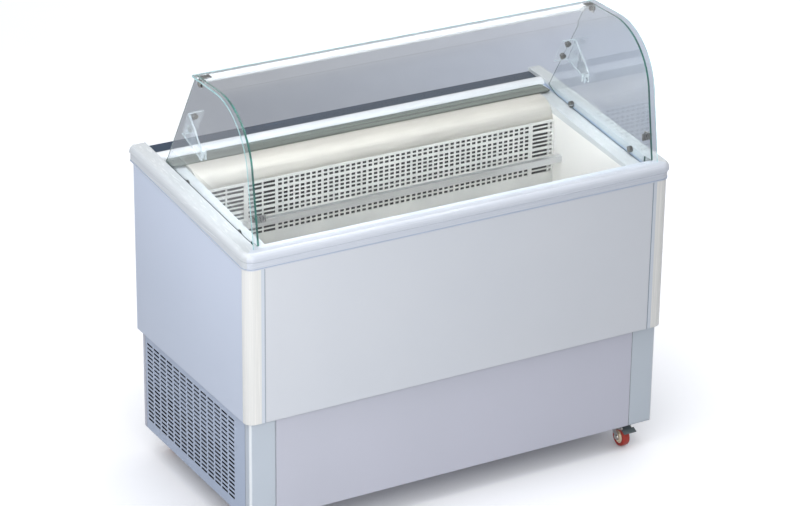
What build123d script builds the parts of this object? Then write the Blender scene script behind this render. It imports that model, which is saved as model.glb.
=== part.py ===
from build123d import *
from math import cos, radians, sin, tan
import os

# Refrigerated display case on casters. Millimetres, X along the length, Y from the customer's side at
# the front to the operator's side at the rear, Z up. The origin is on the floor under the case's middle.

# Upper body
body_length = 1350.0
body_depth = 697.0
body_bottom = 394.0
panel_sheet = 1.5
seam = 0.8
corner_radius = 26.0
corner_front_leg = 55.0
corner_side_leg = 30.0

# Base
base_bottom = 82.0
base_end_inset = 13.0
base_front_inset = 15.0
base_rear_inset = 3.0
base_plate_thickness = 3.0
post_front_leg = 80.0
post_side_leg = 28.0
rear_panel_leg = 20.0
post_radius = 8.0

# Slots of the two vent panels and of the rear panel
vent_columns = 13
vent_rows = 19
vent_column_pitch = 43.0
vent_row_pitch = 13.4
vent_slot_length = 34.0
vent_slot_height = 6.2
vent_middle_y = 36.0
rear_vent_columns = 12
rear_vent_rows = 12
rear_vent_middle_x = -230.0

# Rim
rim_front_top = 904.0
rim_slope = 4.8
rim_height = 49.0
rim_overhang = 8.0
rim_seat_drop = 40.0
rim_front_width = 38.5
rim_end_width = 42.0
rim_nose_depth = 15.0
rim_shoulder = 4.0
ridge_drop = 20.0
crest_out_share = 0.45
crest_drop_share = 0.3
ridge_height = 2.0
cove_depth = 4.0
cove_height = 5.0
lip_height = 3.0
lip_depth = 1.5
ledge_front_drop = 28.0
ledge_slope = 6.0

# Tank
well_length = 1156.0
well_depth = 428.0
tank_floor = 455.0
step_floor = 655.0
tank_rear_wall = 63.5
tank_sheet = 1.5

# Back of the well
hood_top = 940.0
hood_radius = 60.0
hood_sheet = 1.5
hood_setback = 7.0
hood_straight = 0.5
rail_width = 43.0
rail_rise = 17.0
rail_setback = 64.5
deck_sheet = 2.0
deck_bend = 6.0
deck_drop = 11.0
strip_width = 59.0
strip_thickness = 3.0
strip_end_gap = 15.0
strip_corner = 10.0

# Grille: panels of holes between upright ribs, from the left end to the right
grille_thickness = 2.5
grille_top = 890.0
grille_end_gap = 1.0
grille_margin = 8.0
grille_rib_proud = 0.6
grille_row_pitch = 12.3
grille_row_groups = (2, 4, 2, 4)
grille_group_gap = 4.0
grille_hole_height = 8.0
fine_pitch_x = 18.0
fine_hole_width = 12.8
coarse_panels = ((-570, -497), (-493, -440), (-427, -388), (-384, -346), (504, 558), (562, 571))
fine_panels = ((-338, -198), (-192, -53), (-47, 92), (98, 237), (243, 382), (388, 491))

# Pan rails
pan_length = 360.0
pan_bearing = 5.0
pan_rail_width = 16.0
pan_rail_height = 20.0
pan_rail_top = 790.0

# Evaporator side
evaporator_fan_x = 260.0
evaporator_fan_z = 770.0
evaporator_blade_radius = 74.0
evaporator_hub_radius = 22.0
evaporator_hub_length = 24.0
evaporator_motor_radius = 32.0
evaporator_motor_length = 40.0
fan_plate_setback = 28.0
fan_plate_top = 895.0
fan_tip_gap = 3.0
coil_length = 940.0
coil_depth = 50.0
coil_height = 205.0
coil_wall_gap = 4.0
coil_bends = 4
line_entry_share = 0.4
line_entry_spacing = 50.0

# Condensing unit in the base
condenser_depth = 60.0
condenser_width = 300.0
condenser_height = 250.0
condenser_vent_gap = 20.0
shroud_depth = 40.0
shroud_sheet = 1.5
condenser_blade_radius = 106.0
condenser_hub_radius = 30.0
condenser_hub_length = 24.0
condenser_motor_radius = 42.0
condenser_motor_length = 50.0
shaft_radius = 3.0
shaft_grip = 14.0
motor_gap = 2.0
strap_thickness = 4.0
strap_width = 12.0
strap_count = 4
blade_count = 5
blade_root_share = 0.8
blade_pitch = 32.0
blade_thickness = 2.0
compressor_x = -300.0
compressor_y = 60.0
compressor_radius = 80.0
compressor_height = 200.0
compressor_foot = 14.0
compressor_round_share = 0.35
foot_reach_share = 1.05
foot_place_share = 0.85
foot_plate_share = 0.3
foot_radius_share = 0.7
terminal_start_share = 0.8
terminal_end_share = 1.4
terminal_half_share = 0.35
terminal_low_share = 0.4
terminal_high_share = 0.75

# Refrigerant lines and drain
line_radius = 4.5
line_bend = 20.0
line_hole = 1.5
line_reach = 2.5
discharge_share = 0.6
suction_share = 0.35
liquid_share = 0.15
chase_x = 500.0
chase_spacing = 36.0
drain_x = 250.0
drain_y = -150.0
drain_radius = 15.0
drain_wall = 2.0
drain_below = 8.0

# Control unit and mains inlet on the back
control_x = 300.0
control_z = 300.0
control_width = 150.0
control_height = 42.0
control_bezel = 5.0
control_lip = 5.0
control_corner = 5.0
control_body_corner = 2.0
control_body = 58.0
key_width = 10.0
key_height = 8.0
key_length = 8.0
key_proud = 1.6
key_round = 0.5
key_travel = 1.2
key_gap = 0.2
key_spacing = 16.0
key_offset = 2.0
rocker_width = 16.0
rocker_height = 25.0
rocker_depth = 9.0
rocker_offset = 52.0
rocker_tilt = 8.0
rocker_axis_share = 0.55
rocker_front_share = 0.75
rocker_back_share = 0.45
rocker_dish_share = 0.55
rocker_tip_share = 0.92
rocker_root_share = 0.6
rocker_gap = 0.6
rocker_pin_radius = 1.5
rocker_pin_length = 2.0
inlet_x = 560.0
inlet_z = 150.0
inlet_radius = 11.0
inlet_hole_radius = 8.0
inlet_nut_radius = 14.0
inlet_nut_height = 4.5
cord_radius = 4.0

# Glass hood
glass = 6.0
glass_half_length = 643.0
glass_top = 1280.0
glass_rear_y = 30.0
glass_bend = 190.0
glass_foot_setback = 18.5
glass_lean = 8.64
glass_clear = 2.0
end_glass_gap = 3.0
end_glass_lift = 2.0
end_glass_apex_y = 34.0
end_glass_rear_y = 228.0
end_glass_tongue_rear = 185.0
end_glass_tongue_front = 25.0
clamp_leg = 26.0
clamp_width = 20.0
clamp_sheet = 3.0
clamp_rear_inset = 22.0
clamp_front_height = 78.0
bolt_radius = 3.0
bolt_hole = 0.5
bolt_head_radius = 9.5
bolt_head_height = 4.0
bolt_round_share = 0.6
bolt_nut_share = 0.8
rim_bolt_rear_y = 102.0
rim_bolt_front_y = -212.0
rim_bolt_drop = 9.0
rim_bolt_depth = 14.0
bar_radius = 10.0
bar_wall = 1.5
bar_drop = 16.0
bar_end_gap = 24.0
bar_ring_radius = 12.5
bar_ring_length = 6.0
bar_plug_radius = 7.0

# Acrylic brackets: an arm bonded to the end glass, folded into a flange along its rear edge
bracket_thickness = 5.0
bracket_flange = 47.0
bracket_outline = ((90, 1146), (11, 1063), (27, 1037), (131, 1070))
bracket_bolt_inset = 17.0
clip_width = 17.0
clip_height = 26.0
clip_gap = 7.0
clip_depth = 14.0
clip_rise = 9.0

# Casters
wheel_radius = 30.0
wheel_width = 23.0
tread_round = 4.0
hub_radius = 20.0
hub_recess = 4.0
axle_radius = 4.0
running_gap = 0.05
caster_trail = 28.0
caster_end_inset = 77.0
caster_front_inset = 66.5
caster_plate_size = 70.0
caster_plate_thickness = 4.0
race_radius = 22.0
race_height = 6.0
crown_thickness = 6.0
crown_gap = 0.2
fork_gap = 2.5
fork_sheet = 3.0
fork_eye_turn = 45.0
kingpin_radius = 6.0
kingpin_nut_radius = 9.0
kingpin_nut_height = 3.5
axle_nut_radius = 7.0
axle_nut_height = 4.0
pedal_pivot_forward = 21.0
pedal_pivot_up = 37.0
pedal_pin_radius = 2.5
brake_ear_share = 1.5
pedal_barrel_radius = 4.5
pedal_width = 42.0
pedal_sheet = 3.0
pedal_reach = 27.0
pedal_neck = 9.0
pedal_slope = 22.0

# Levels and faces that several pieces share
body_end = body_length / 2
body_front = -body_depth / 2
body_rear = body_depth / 2
base_end = body_end - base_end_inset
base_front = body_front + base_front_inset
base_rear = body_rear - base_rear_inset
base_plate_top = base_bottom + base_plate_thickness
well_end = well_length / 2
well_front = body_front + rim_front_width
well_rear = well_front + well_depth
tank_rear = body_rear - tank_rear_wall
tank_back = tank_rear + tank_sheet
raised_end = body_end - rim_end_width
grille_back = well_rear + grille_thickness
hood_front = well_rear + hood_setback
hood_lower = hood_top - hood_radius
rail_rear = body_rear - rail_setback + rail_width / 2
rail_front = rail_rear - rail_width
slope_rise = tan(radians(rim_slope))
slope_run = cos(radians(rim_slope))
rim_length = (body_depth + rim_overhang) / slope_run
rim_plane = Plane(
    origin=(0, body_front, rim_front_top),
    x_dir=(1, 0, 0),
    z_dir=(0, -sin(radians(rim_slope)), cos(radians(rim_slope))),
)
rim_side = Plane(origin=rim_plane.origin, x_dir=rim_plane.y_dir, z_dir=(1, 0, 0))
seat_plane = rim_plane.offset(-rim_seat_drop)
tall = 2 * glass_top
foot_y = body_front + glass_foot_setback

sides = (("left", -1), ("right", 1))


def rim_top(y):
    """Height of the rim's sloping top over a place across the case."""
    return rim_front_top + slope_rise * (y - body_front)


def ledge_top(y):
    """Height of the ledge inside each end of the rim, which climbs faster than the rim does."""
    return rim_top(well_front) - ledge_front_drop + tan(radians(ledge_slope)) * (y - well_front)


def block(x, y, z):
    """Box between two limits on each axis."""
    sizes = [high - low for low, high in (x, y, z)]
    middles = [(high + low) / 2 for low, high in (x, y, z)]
    return Pos(*middles) * Box(*sizes)


def rod(start, direction, radius, length):
    """Cylinder from a point along a direction."""
    plane = Plane(origin=start, z_dir=direction)
    return plane * Cylinder(radius, length, align=(Align.CENTER, Align.CENTER, Align.MIN))


def prism(face, half_length):
    """Solid of a Y-Z outline, the same distance to both sides of the middle."""
    return extrude(Plane.YZ * face, amount=half_length, both=True)


def plate_at(face, x_low, x_high):
    """Solid of a Y-Z outline between two places along the length."""
    return extrude(Plane.YZ.offset(x_low) * face, amount=x_high - x_low)


def outline(*points):
    """Flat face with straight sides."""
    return make_face(Polyline(*points, close=True))


def bent_sheet(points, thickness, radius):
    """Section of a sheet whose outer side runs through the points; all bends turn the same way."""
    corners = [Vector(*point) for point in points]
    runs = [(b - a).normalized() for a, b in zip(corners, corners[1:])]
    side = 1 if runs[0].cross(runs[1]).Z > 0 else -1
    normals = [Vector(-run.Y, run.X) * side for run in runs]
    inner = [corners[0] + normals[0] * thickness]
    for corner, before, after in zip(corners[1:-1], normals, normals[1:]):
        shared = before + after
        inner.append(corner + shared * (2 * thickness / shared.dot(shared)))
    inner.append(corners[-1] + normals[-1] * thickness)
    outside = FilletPolyline(*corners, radius=radius)
    inside = FilletPolyline(*reversed(inner), radius=radius - thickness)
    ends = [Line(corners[-1], inner[-1]), Line(inner[0], corners[0])]
    return make_face(outside.edges() + inside.edges() + [end.edge() for end in ends])


def holed_plate(width, height, thickness, holes):
    """Flat plate in X and Z with its front face at Y 0, and holes given as outlines in that plane."""
    sheet = Face(Rectangle(width, height).wire(), [hole.wire() for hole in holes])
    return extrude(Plane.XZ * sheet, amount=-thickness)


def bent_tube(points, radius, bend):
    """Round bar along straight runs joined by tangent bends."""
    path = FilletPolyline(*points, radius=bend)
    section = Plane(origin=path @ 0, z_dir=path % 0) * Circle(radius)
    return sweep(section, path=path)


def save(name, shape):
    export_step(shape, f"parts/{name}.step")


def save_group(name, solids):
    save(name, Compound(children=list(solids)))


def slot_field(columns, rows, middle_u, middle_v):
    """Punched air slots on a grid."""
    centres = GridLocations(vent_column_pitch, vent_row_pitch, columns, rows)
    slot = Rectangle(vent_slot_length, vent_slot_height)
    return [Pos(middle_u, middle_v) * place * slot for place in centres]


# Base plate, posts and panels
def base_plate():
    width = 2 * (base_end - panel_sheet)
    depth = base_rear - base_front - 2 * panel_sheet
    plan = Pos(0, (base_front + base_rear) / 2) * RectangleRounded(width, depth, post_radius)
    plan -= Pos(drain_x, drain_y) * Circle(drain_radius + line_hole)
    return extrude(Plane.XY.offset(base_bottom) * plan, amount=base_plate_thickness)


def base_post(side):
    section = bent_sheet(
        (
            (side * (base_end - post_front_leg), base_front),
            (side * base_end, base_front),
            (side * base_end, base_front + post_side_leg),
        ),
        panel_sheet,
        post_radius,
    )
    return extrude(Plane.XY.offset(base_bottom) * section, amount=body_bottom - base_bottom)


def base_front_panel():
    half = base_end - post_front_leg - seam
    return block((-half, half), (base_front, base_front + panel_sheet), (base_bottom, body_bottom))


def vent_panel(side):
    front = base_front + post_side_leg + seam
    rear = base_rear - rear_panel_leg - seam
    middle_y = (front + rear) / 2
    middle_z = (base_bottom + body_bottom) / 2
    slots = slot_field(vent_columns, vent_rows, vent_middle_y - middle_y, 0)
    plate = holed_plate(rear - front, body_bottom - base_bottom, panel_sheet, slots)
    turned = Rot(0, 0, 90) * plate
    outer_x = base_end if side > 0 else -base_end + panel_sheet
    return Pos(outer_x, middle_y, middle_z) * turned


def control_opening():
    """The control unit's body as it passes through the rear panel."""
    return RectangleRounded(
        control_width - 2 * control_lip,
        control_height - 2 * control_lip,
        control_body_corner,
    )


def base_rear_panel():
    section = bent_sheet(
        (
            (base_end, base_rear - rear_panel_leg),
            (base_end, base_rear),
            (-base_end, base_rear),
            (-base_end, base_rear - rear_panel_leg),
        ),
        panel_sheet,
        post_radius,
    )
    panel = extrude(Plane.XY.offset(base_bottom) * section, amount=body_bottom - base_bottom)
    middle_z = (base_bottom + body_bottom) / 2
    cuts = slot_field(rear_vent_columns, rear_vent_rows, rear_vent_middle_x, middle_z)
    cuts.append(Pos(control_x, control_z) * control_opening())
    cuts.append(Pos(inlet_x, inlet_z) * Circle(inlet_hole_radius))
    cutter_plane = Plane.XZ.offset(-base_rear - panel_sheet)
    return panel - [extrude(cutter_plane * cut, amount=3 * panel_sheet) for cut in cuts]


# Upper body: underside, panels, corner profiles, foam and tank
def body_plan(inset):
    """Plan of the upper body with rounded front corners, set in from the panels' outer faces."""
    plan = Rectangle(body_length - 2 * inset, body_depth - 2 * inset)
    front_corners = plan.vertices().group_by(Axis.Y)[0]
    return fillet(front_corners, corner_radius - inset)


def line_places():
    """Liquid and suction lines where they climb inside the rear wall."""
    wall_y = (tank_back + body_rear - panel_sheet) / 2
    return (chase_x, wall_y), (chase_x + chase_spacing, wall_y)


def body_floor():
    plan = body_plan(panel_sheet)
    plan -= Pos(drain_x, drain_y) * Circle(drain_radius + line_hole)
    for x, y in line_places():
        plan -= Pos(x, y) * Circle(line_radius + line_hole)
    return extrude(Plane.XY.offset(body_bottom) * plan, amount=panel_sheet)


def under_rim(solid):
    """What is left of a solid below the plane that the rim sits on."""
    return split(solid, bisect_by=seat_plane, keep=Keep.BOTTOM)


def body_envelope():
    """The whole upper body under the rim, out to the panels' outer faces."""
    return under_rim(extrude(Plane.XY.offset(body_bottom) * body_plan(0), amount=tall))


def upper_front_panel():
    half = body_end - corner_front_leg - seam
    return under_rim(block((-half, half), (body_front, body_front + panel_sheet), (body_bottom, tall)))


def upper_end_panel(side):
    x = sorted((side * body_end, side * (body_end - panel_sheet)))
    y = (body_front + corner_side_leg + seam, body_rear)
    return under_rim(block(x, y, (body_bottom, tall)))


def upper_rear_panel():
    half = body_end - panel_sheet
    return under_rim(block((-half, half), (body_rear - panel_sheet, body_rear), (body_bottom, tall)))


def corner_profile(side):
    section = bent_sheet(
        (
            (side * (body_end - corner_front_leg), body_front),
            (side * body_end, body_front),
            (side * body_end, body_front + corner_side_leg),
        ),
        panel_sheet,
        corner_radius,
    )
    return under_rim(extrude(Plane.XY.offset(body_bottom) * section, amount=tall))


def tank_block(skin):
    """The tank's inside, or its outside when a skin is added, open upward."""
    front = well_front - skin
    rear = tank_rear + skin
    step = well_rear + skin
    low = tank_floor - skin
    shelf = step_floor - skin
    side_view = outline((front, low), (step, low), (step, shelf), (rear, shelf), (rear, tall), (front, tall))
    return prism(side_view, well_end + skin)


def drain_bore(radius):
    return rod((drain_x, drain_y, 0), (0, 0, 1), radius, step_floor)


def inner_tank():
    tank = under_rim(tank_block(tank_sheet) - tank_block(0))
    wall_low = rim_top(tank_rear) - rim_seat_drop - rim_height
    tank += block((-well_end, well_end), (tank_rear, tank_back), (wall_low, hood_top - hood_sheet))
    tank -= drain_bore(drain_radius)
    for (x, _), z in zip(line_places(), line_heights()):
        tank -= rod((x, tank_rear - tank_sheet, z), (0, 1, 0), line_radius + line_hole, 3 * tank_sheet)
    return tank


def insulation_foam():
    foam = extrude(Plane.XY.offset(body_bottom + panel_sheet) * body_plan(panel_sheet), amount=tall)
    foam = under_rim(foam) - tank_block(tank_sheet)
    back = body_rear - panel_sheet
    low = step_floor
    deck_front = rail_rear + seam
    deck_depth = (deck_drop + deck_sheet) / slope_run
    beam = outline(
        (tank_back, low),
        (tank_back, hood_top),
        (deck_front, hood_top),
        (deck_front, rim_top(deck_front) - deck_depth),
        (back, rim_top(back) - deck_depth),
        (back, low),
    )
    foam += prism(beam, raised_end - seam)
    foam -= drain_bore(drain_radius)
    reach = line_radius + line_hole
    for (x, y), z in zip(line_places(), line_heights()):
        foam -= block((x - reach, x + reach), (y - reach, y + reach), (0, z + reach))
        foam -= block((x - reach, x + reach), (tank_rear, y), (z - line_bend - reach, z + reach))
    return foam


# Rim: a swept nose round the front and both ends, and the flat parts inside it
def rim_nose_section():
    """Section across the nose: outward distance from the panel's face, and height from the rim's top."""
    bulge = (rim_overhang * crest_out_share, -ridge_drop * crest_drop_share)
    crest = ThreePointArc((-rim_shoulder, 0), bulge, (rim_overhang, -ridge_drop))
    rest = Polyline(
        (rim_overhang, -ridge_drop),
        (rim_overhang, -ridge_drop - ridge_height),
        (rim_overhang - cove_depth, -ridge_drop - ridge_height - cove_height),
        (rim_overhang - cove_depth, lip_height - rim_height),
        (rim_overhang - cove_depth + lip_depth, lip_height - rim_height),
        (rim_overhang - cove_depth + lip_depth, -rim_height),
        (0, -rim_height),
        (0, -rim_seat_drop),
        (-rim_nose_depth, -rim_seat_drop),
        (-rim_nose_depth, 0),
        (-rim_shoulder, 0),
    )
    return make_face(crest.edges() + rest.edges())


def rim_block(x, run, height):
    """Box in the rim's sloping frame: along the case, along the slope, and up from its top."""
    return rim_plane * block(x, run, height)


def rim_nose():
    path = rim_plane * FilletPolyline(
        (body_end, rim_length),
        (body_end, 0),
        (-body_end, 0),
        (-body_end, rim_length),
        radius=corner_radius,
    )
    section_plane = Plane(origin=path @ 0, x_dir=(1, 0, 0), z_dir=path % 0)
    return sweep(section_plane * rim_nose_section(), path=path)


def mitre_prism(*plan):
    """Region of the rim between two mitres."""
    return rim_plane * extrude(Plane.XY.offset(-2 * rim_height) * outline(*plan), amount=3 * rim_height)


def rim_front():
    out = 2 * rim_overhang
    inner = body_end - rim_front_width
    flat = rim_block((-body_end, body_end), (rim_nose_depth, rim_front_width), (-rim_seat_drop, 0))
    region = mitre_prism(
        (-body_end - out, -out),
        (body_end + out, -out),
        (inner, rim_front_width),
        (-inner, rim_front_width),
    )
    return ((rim_nose() + flat) & region) - body_envelope()


def rim_end(side):
    out = 2 * rim_overhang
    inner = body_end - rim_front_width
    raised_x = sorted((side * raised_end, side * (body_end - rim_nose_depth)))
    ledge_x = sorted((side * well_end, side * raised_end))
    raised = rim_block(raised_x, (0, rim_length), (-rim_seat_drop, 0))
    ledge_side = outline(
        (body_front, body_bottom),
        (body_front, ledge_top(body_front)),
        (tank_back, ledge_top(tank_back)),
        (tank_back, body_bottom),
    )
    ledge = plate_at(ledge_side, *ledge_x) & block(ledge_x, (body_front, tank_back), (body_bottom, hood_top))
    region = mitre_prism(
        (side * (body_end + out), -out),
        (side * inner, rim_front_width),
        (side * (well_end - out), rim_front_width),
        (side * (well_end - out), 2 * rim_length),
        (side * (body_end + out), 2 * rim_length),
    )
    end = ((rim_nose() + raised + ledge) & region) - body_envelope()
    for y in (rim_bolt_rear_y, rim_bolt_front_y):
        start = (side * raised_end, y, rim_top(y) - rim_bolt_drop)
        end -= rod(start, (side, 0, 0), bolt_radius, rim_bolt_depth)
    return end


# Back of the well: deck, rail, strip, air hood and grille
def rear_deck():
    front = (rail_rear + seam - body_front) / slope_run - deck_drop * slope_rise
    corner = (rim_length, -deck_drop)
    section = bent_sheet(((front, -deck_drop), corner, (rim_length, -rim_height)), deck_sheet, deck_bend)
    return extrude(rim_side * section, amount=raised_end - seam, both=True)


def rear_rail():
    crown = ThreePointArc(
        (rail_front, hood_top),
        ((rail_front + rail_rear) / 2, hood_top + rail_rise),
        (rail_rear, hood_top),
    )
    base = Line((rail_rear, hood_top), (rail_front, hood_top))
    return prism(make_face(crown.edges() + base.edges()), raised_end - seam)


def steel_strip():
    half = raised_end - strip_end_gap
    plan = Pos(0, rail_front - strip_width / 2) * RectangleRounded(2 * half, strip_width, strip_corner)
    return extrude(Plane.XY.offset(hood_top) * plan, amount=strip_thickness)


def air_hood():
    half = well_end - grille_end_gap
    corner = (hood_front, hood_top)
    turned_down = (hood_front, hood_lower)
    bend = hood_radius - hood_straight
    section = bent_sheet(((tank_back, hood_top), corner, turned_down), hood_sheet, bend)
    sheet = prism(section, half)
    closed = FilletPolyline((tank_rear, hood_top), corner, turned_down, radius=bend)
    back = Polyline(turned_down, (tank_rear, hood_lower), (tank_rear, hood_top))
    cheek = make_face(closed.edges() + back.edges())
    for side in (-1, 1):
        x = sorted((side * half, side * (half - hood_sheet)))
        sheet += plate_at(cheek, *x)
    return sheet


def grille_rows():
    """Heights of the hole rows, in groups from the top of the grille down."""
    z = grille_top - grille_margin - grille_hole_height / 2
    for count in grille_row_groups:
        for _ in range(count):
            yield z
            z -= grille_row_pitch
        z -= grille_group_gap


def grille_panel(left, right, hole_width, pitch):
    """One flat panel of the grille with its rows of holes."""
    middle_z = (grille_top + step_floor) / 2
    columns = int((right - left - hole_width) / pitch) + 1
    first = -(columns - 1) * pitch / 2
    hole = Rectangle(hole_width, grille_hole_height)
    holes = [
        Pos(first + index * pitch, z - middle_z) * hole
        for z in grille_rows()
        for index in range(columns)
    ]
    plate = holed_plate(right - left, grille_top - step_floor, grille_thickness, holes)
    return Pos((left + right) / 2, well_rear, middle_z) * plate


def rear_grille():
    half = well_end - grille_end_gap
    panels = [grille_panel(left, right, fine_hole_width, fine_pitch_x) for left, right in fine_panels]
    for left, right in coarse_panels:
        width = right - left
        panels.append(grille_panel(left, right, width - grille_rib_proud, width))
    edges = sorted(edge for panel in fine_panels + coarse_panels for edge in panel)
    ribs = zip([-half] + edges[1::2], edges[0::2] + [half])
    rib_y = (well_rear - grille_rib_proud, grille_back)
    for left, right in ribs:
        panels.append(block((left, right), rib_y, (step_floor, grille_top)))
    return Part() + panels


def pan_rails():
    middle = (well_front + well_rear) / 2
    offset = pan_length / 2 - pan_bearing
    half_width = pan_rail_width / 2
    low = pan_rail_top - pan_rail_height
    for y in (middle - offset, middle + offset):
        yield block((-well_end, well_end), (y - half_width, y + half_width), (low, pan_rail_top))


# Fans and motors, made along +Y and then turned
def fan_blades(radius, hub_radius, hub_length):
    """Hub with tilted flat blades and a shaft stub; the hub's front face is at Y 0."""
    fan = rod((0, 0, 0), (0, 1, 0), hub_radius, hub_length)
    blade_width = hub_length / sin(radians(blade_pitch)) - 2 * blade_thickness
    root = hub_radius * blade_root_share
    span = radius - root
    blade = Rot(0, 0, blade_pitch) * Box(blade_width, blade_thickness, span)
    blade = Pos(0, hub_length / 2, root + span / 2) * blade
    for index in range(blade_count):
        fan += Rot(0, 360 * index / blade_count, 0) * blade
    fan &= rod((0, 0, 0), (0, 1, 0), radius, hub_length)
    return fan + rod((0, hub_length, 0), (0, 1, 0), shaft_radius, motor_gap + shaft_grip)


def fan_motor(radius, length, hub_length, strap_radius, seat):
    """Motor behind a fan whose hub starts at Y 0, with straps forward to a plate at Y seat."""
    front = hub_length + motor_gap
    motor = rod((0, front, 0), (0, 1, 0), radius, length)
    arm_y = (front + strap_thickness, front + 2 * strap_thickness)
    half = strap_width / 2
    arm = block((-half, half), arm_y, (radius / 2, strap_radius))
    leg = block((-half, half), (seat, arm_y[1]), (strap_radius - strap_thickness, strap_radius))
    for index in range(strap_count):
        motor += Rot(0, 360 * (index + 0.5) / strap_count, 0) * (arm + leg)
    bore = rod((0, front, 0), (0, 1, 0), shaft_radius + running_gap, shaft_grip + motor_gap)
    return motor - bore


def evaporator_plate_back():
    return grille_back + fan_plate_setback + panel_sheet


def evaporator_fan_place(side):
    """Front face of a fan's hub, flush with the back of the fan plate plus a running gap."""
    return Pos(side * evaporator_fan_x, evaporator_plate_back() + motor_gap, evaporator_fan_z)


def fan_plate():
    half = well_end - grille_end_gap - hood_sheet - seam
    height = fan_plate_top - step_floor
    middle = (fan_plate_top + step_floor) / 2
    opening = Circle(evaporator_blade_radius + fan_tip_gap)
    holes = [Pos(side * evaporator_fan_x, evaporator_fan_z - middle) * opening for side in (-1, 1)]
    front = grille_back + fan_plate_setback
    return Pos(0, front, middle) * holed_plate(2 * half, height, panel_sheet, holes)


def evaporator_motors():
    strap_radius = evaporator_blade_radius + fan_tip_gap + 3 * strap_thickness
    motor = fan_motor(
        evaporator_motor_radius,
        evaporator_motor_length,
        evaporator_hub_length,
        strap_radius,
        -motor_gap,
    )
    for side in (-1, 1):
        yield evaporator_fan_place(side) * motor


def evaporator_fan(side):
    fan = fan_blades(evaporator_blade_radius, evaporator_hub_radius, evaporator_hub_length)
    return evaporator_fan_place(side) * fan


def return_bends(places, direction, spacing):
    """Half-round tube ends that join neighbouring rows of a coil."""
    for place in places:
        up = Vector(0, 0, spacing / 2)
        start = Vector(*place) - up
        end = Vector(*place) + up
        top = Vector(*place) + Vector(*direction) * (spacing / 2)
        path = ThreePointArc(start, top, end)
        section = Plane(origin=start, z_dir=path % 0) * Circle(line_radius)
        yield sweep(section, path=path)


def evaporator_box():
    rear = tank_rear - coil_wall_gap
    return (
        (-coil_length / 2, coil_length / 2),
        (rear - coil_depth, rear),
        (step_floor, step_floor + coil_height),
    )


def line_heights():
    """Heights where the liquid and suction lines meet the evaporator."""
    low = step_floor + coil_height * line_entry_share
    return low + line_entry_spacing, low


def evaporator_coil():
    x, y, z = evaporator_box()
    coil = block(x, y, z)
    spacing = coil_height / (2 * coil_bends)
    bends = [(x[0], (y[0] + y[1]) / 2, z[0] + spacing * (2 * index + 1)) for index in range(coil_bends)]
    for bend in return_bends(bends, (-1, 0, 0), spacing):
        coil += bend
    return coil


# Condensing unit
def condenser_box():
    low_x = -base_end + panel_sheet + condenser_vent_gap
    half = condenser_width / 2
    low_z = base_plate_top
    return (
        (low_x, low_x + condenser_depth),
        (vent_middle_y - half, vent_middle_y + half),
        (low_z, low_z + condenser_height),
    )


def condenser_coil():
    x, y, z = condenser_box()
    coil = block(x, y, z)
    spacing = condenser_height / (2 * coil_bends)
    bends = [((x[0] + x[1]) / 2, y[0], z[0] + spacing * (2 * index + 1)) for index in range(coil_bends)]
    for bend in return_bends(bends, (0, -1, 0), spacing):
        coil += bend
    return coil


def condenser_fan_middle():
    x, y, z = condenser_box()
    return x[1], (y[0] + y[1]) / 2, (z[0] + z[1]) / 2


def condenser_shroud():
    x, y, z = condenser_box()
    face = x[1] + shroud_depth
    wall = shroud_sheet
    shroud = block((x[1], face), y, z)
    shroud -= block((x[1], face - wall), (y[0] + wall, y[1] - wall), (z[0] + wall, z[1] - wall))
    _, middle_y, middle_z = condenser_fan_middle()
    return shroud - rod((x[1], middle_y, middle_z), (1, 0, 0), condenser_blade_radius + fan_tip_gap, tall)


def condenser_turn():
    """Takes a fan made along +Y to the condenser, blowing along +X through the shroud's face."""
    start_x, middle_y, middle_z = condenser_fan_middle()
    hub_front = start_x + shroud_depth - condenser_hub_length / 2
    return Pos(hub_front, middle_y, middle_z) * Rot(0, 0, -90)


def condenser_fan():
    return condenser_turn() * fan_blades(condenser_blade_radius, condenser_hub_radius, condenser_hub_length)


def condenser_motor():
    motor = fan_motor(
        condenser_motor_radius,
        condenser_motor_length,
        condenser_hub_length,
        condenser_blade_radius + fan_tip_gap + 3 * strap_thickness,
        condenser_hub_length / 2,
    )
    return condenser_turn() * motor


def compressor():
    low = base_plate_top + compressor_foot
    middle = (compressor_x, compressor_y, low + compressor_height / 2)
    pot = Pos(*middle) * Cylinder(compressor_radius, compressor_height)
    pot = fillet(pot.edges(), compressor_radius * compressor_round_share)
    reach = compressor_radius * foot_reach_share
    plate_low = low - compressor_foot * foot_plate_share
    span_x = (compressor_x - reach, compressor_x + reach)
    span_y = (compressor_y - reach, compressor_y + reach)
    pot += block(span_x, span_y, (plate_low, low + 2 * panel_sheet))
    foot_offset = reach * foot_place_share
    for x in (compressor_x - foot_offset, compressor_x + foot_offset):
        for y in (compressor_y - foot_offset, compressor_y + foot_offset):
            foot_height = plate_low - base_plate_top
            pot += rod((x, y, base_plate_top), (0, 0, 1), compressor_foot * foot_radius_share, foot_height)
    half = compressor_radius * terminal_half_share
    terminal_x = (
        compressor_x + compressor_radius * terminal_start_share,
        compressor_x + compressor_radius * terminal_end_share,
    )
    terminal_z = (
        low + compressor_height * terminal_low_share,
        low + compressor_height * terminal_high_share,
    )
    return pot + block(terminal_x, (compressor_y - half, compressor_y + half), terminal_z)


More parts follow.
